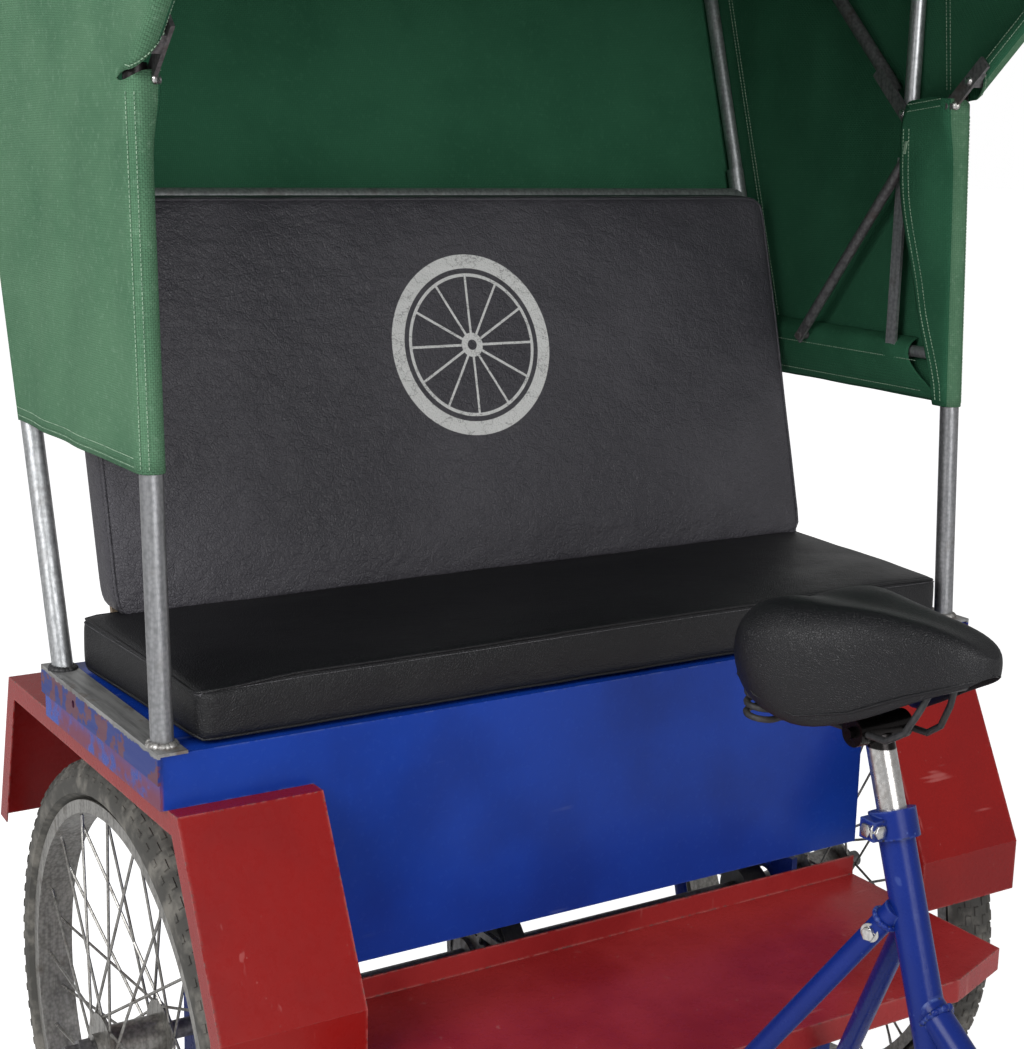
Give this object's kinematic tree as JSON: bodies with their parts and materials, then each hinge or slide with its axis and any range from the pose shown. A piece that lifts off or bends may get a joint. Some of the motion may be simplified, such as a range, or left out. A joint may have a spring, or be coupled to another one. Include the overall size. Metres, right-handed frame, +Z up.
{
  "type": "cycle rickshaw",
  "caption": "Pedal cycle rickshaw with a hooded bench over the rear axle, a footboard, a low loop frame, a sprung saddle and a steered front wheel.",
  "frame": {"origin": "centre of the bounding box at floor level", "axes": "+X to the vehicle's left, -Y to its front, +Z up"},
  "size_m": [1.086, 2.1172, 1.6585],
  "materials": {
    "blue_paint": "gloss enamel",
    "red_paint": "gloss enamel",
    "galvanised": "galvanised",
    "dark_steel": "dull dark steel",
    "bright_steel": "plated",
    "wheel_steel": "dull plated steel",
    "black_iron": "black",
    "tyre_rubber": "matt",
    "grip_rubber": "matt",
    "black_vinyl": "grained vinyl",
    "canvas": "woven canvas",
    "board": "painted plywood"
  },
  "bodies": {
    "chassis": {"seat_box": "blue_paint", "fender_left": "red_paint", "fender_right": "red_paint", "footboard": "red_paint", "side_angles": "galvanised", "front_posts": "galvanised", "rear_posts": "galvanised", "side_rails": "galvanised", "back_cushion": "black_vinyl", "back_board": "board", "seat_cushion": "black_vinyl", "top_rail": "galvanised", "rear_bow": "galvanised", "mid_bow": "galvanised", "visor_bow": "galvanised", "quarter_bow": "dark_steel", "stays": "dark_steel", "canopy": "canvas", "axle_carrier": "blue_paint", "frame_rails": "blue_paint", "bearings": "black_iron", "seat_tube": "blue_paint", "head_tube": "blue_paint", "down_tube": "blue_paint", "loop_tube": "blue_paint", "seat_stays": "blue_paint", "floor_bars": "blue_paint", "box_struts": "blue_paint", "brake_band": "black_iron", "chain": "dark_steel", "seat_post": "bright_steel", "saddle": "black_vinyl", "saddle_springs": "black_iron"},
    "steering": {"fork": "blue_paint", "handlebar": "bright_steel", "grips": "grip_rubber", "front_mudguard": "red_paint"},
    "front_wheel": {"tyre_front": "tyre_rubber", "wheel_front": "wheel_steel"},
    "left_wheel": {"tyre_rear_left": "tyre_rubber", "wheel_rear_left": "wheel_steel"},
    "driven_axle": {"rear_axle": "dark_steel", "tyre_rear_right": "tyre_rubber", "wheel_rear_right": "wheel_steel"},
    "crank": {"crankset": "bright_steel"},
    "left_pedal": {"pedal_left": "black_iron"},
    "right_pedal": {"pedal_right": "black_iron"}
  },
  "joints": [
    {"name": "steer", "type": "hinge", "parent": "chassis", "child": "steering", "pos_m": [0, -0.69479, 0.28661], "axis": [0, 0.342, 0.9397], "range_deg": [-45, 45]},
    {"name": "front_wheel_spin", "type": "hinge", "parent": "steering", "child": "front_wheel", "pos_m": [0, -0.73708, 0.302], "axis": [1, 0, 0], "continuous": true},
    {"name": "left_wheel_spin", "type": "hinge", "parent": "chassis", "child": "left_wheel", "pos_m": [0.471, 0.65492, 0.302], "axis": [1, 0, 0], "continuous": true},
    {"name": "axle_spin", "type": "hinge", "parent": "chassis", "child": "driven_axle", "pos_m": [-0.471, 0.65492, 0.302], "axis": [1, 0, 0], "continuous": true},
    {"name": "crank_spin", "type": "hinge", "parent": "chassis", "child": "crank", "pos_m": [0, -0.09308, 0.272], "axis": [1, 0, 0], "continuous": true},
    {"name": "left_pedal_spin", "type": "hinge", "parent": "crank", "child": "left_pedal", "pos_m": [0.131, 0.07192, 0.272], "axis": [1, 0, 0], "continuous": true},
    {"name": "right_pedal_spin", "type": "hinge", "parent": "crank", "child": "right_pedal", "pos_m": [-0.131, -0.25808, 0.272], "axis": [1, 0, 0], "continuous": true}
  ]
}
